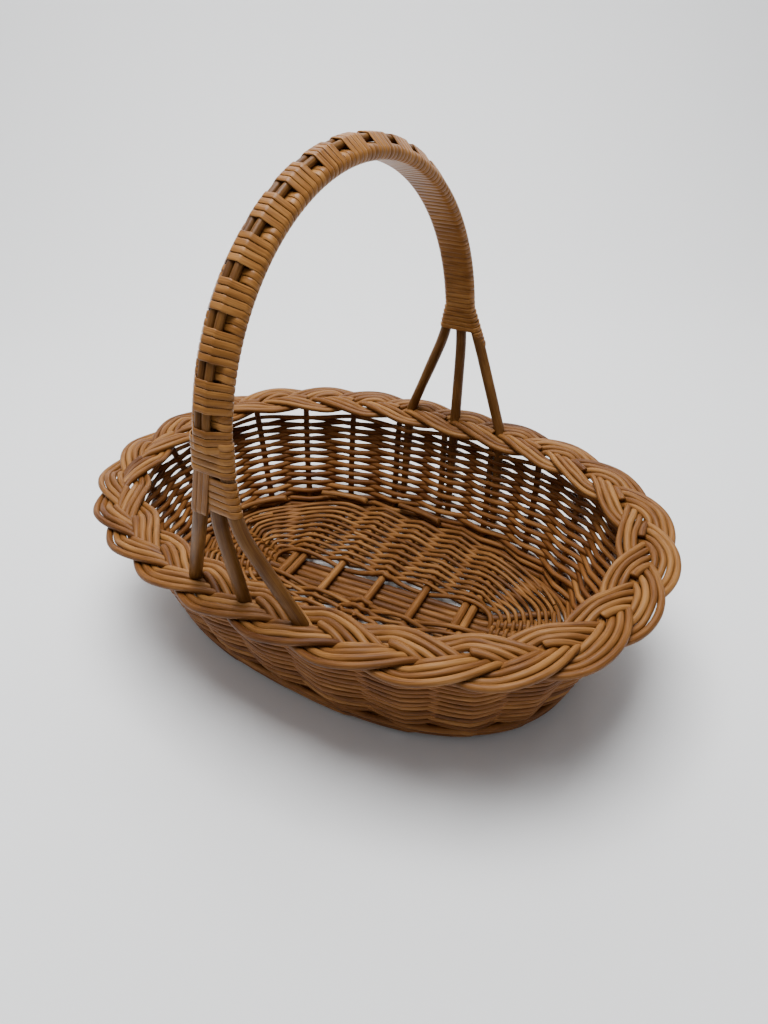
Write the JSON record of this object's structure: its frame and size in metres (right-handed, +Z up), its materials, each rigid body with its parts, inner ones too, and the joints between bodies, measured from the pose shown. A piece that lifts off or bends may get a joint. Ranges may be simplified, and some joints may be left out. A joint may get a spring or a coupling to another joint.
{
  "type": "woven market basket",
  "caption": "Oval wicker market basket with flared randed sides, a wide plaited border and a fixed cane-wrapped bow handle for carrying goods.",
  "frame": {"origin": "on the floor under the middle of the oval, in the plane of the flat worn under the foot ring", "axes": "+Z up; X along the length of the oval; the handle bow stands across it in the plane X = 0, with its front legs at -Y"},
  "size_m": [0.44, 0.312, 0.3436],
  "materials": {
    "base_sticks": "satin",
    "base_weavers": "satin",
    "side_weavers": "satin",
    "stakes": "satin",
    "border_rods": "satin",
    "handle_rods": "satin",
    "wrapping_cane": "satin"
  },
  "bodies": {
    "root": {"base_cross_stick_1": "base_sticks", "base_cross_stick_2": "base_sticks", "base_cross_stick_3": "base_sticks", "base_cross_stick_4": "base_sticks", "base_cross_stick_5": "base_sticks", "base_cross_stick_6": "base_sticks", "base_cross_stick_7": "base_sticks", "base_long_stick_1": "base_sticks", "base_long_stick_2": "base_sticks", "base_long_stick_3": "base_sticks", "base_long_stick_4": "base_sticks", "base_long_stick_5": "base_sticks", "base_weave": "base_weavers", "border_plait": "border_rods", "bow_rod_centre": "handle_rods", "bow_rod_left": "handle_rods", "bow_rod_right": "handle_rods", "foot_ring": "side_weavers", "handle_wrap": "wrapping_cane", "listing_rod_left": "handle_rods", "listing_rod_right": "handle_rods", "side_stake_01": "stakes", "side_stake_02": "stakes", "side_stake_03": "stakes", "side_stake_04": "stakes", "side_stake_05": "stakes", "side_stake_06": "stakes", "side_stake_07": "stakes", "side_stake_08": "stakes", "side_stake_09": "stakes", "side_stake_10": "stakes", "side_stake_11": "stakes", "side_stake_12": "stakes", "side_stake_13": "stakes", "side_stake_14": "stakes", "side_stake_15": "stakes", "side_stake_16": "stakes", "side_stake_17": "stakes", "side_stake_18": "stakes", "side_stake_19": "stakes", "side_stake_20": "stakes", "side_stake_21": "stakes", "side_stake_22": "stakes", "side_stake_23": "stakes", "side_stake_24": "stakes", "side_weave": "side_weavers", "upsett_wale": "side_weavers", "wrap_end_back": "wrapping_cane", "wrap_end_front": "wrapping_cane"}
  },
  "joints": []
}
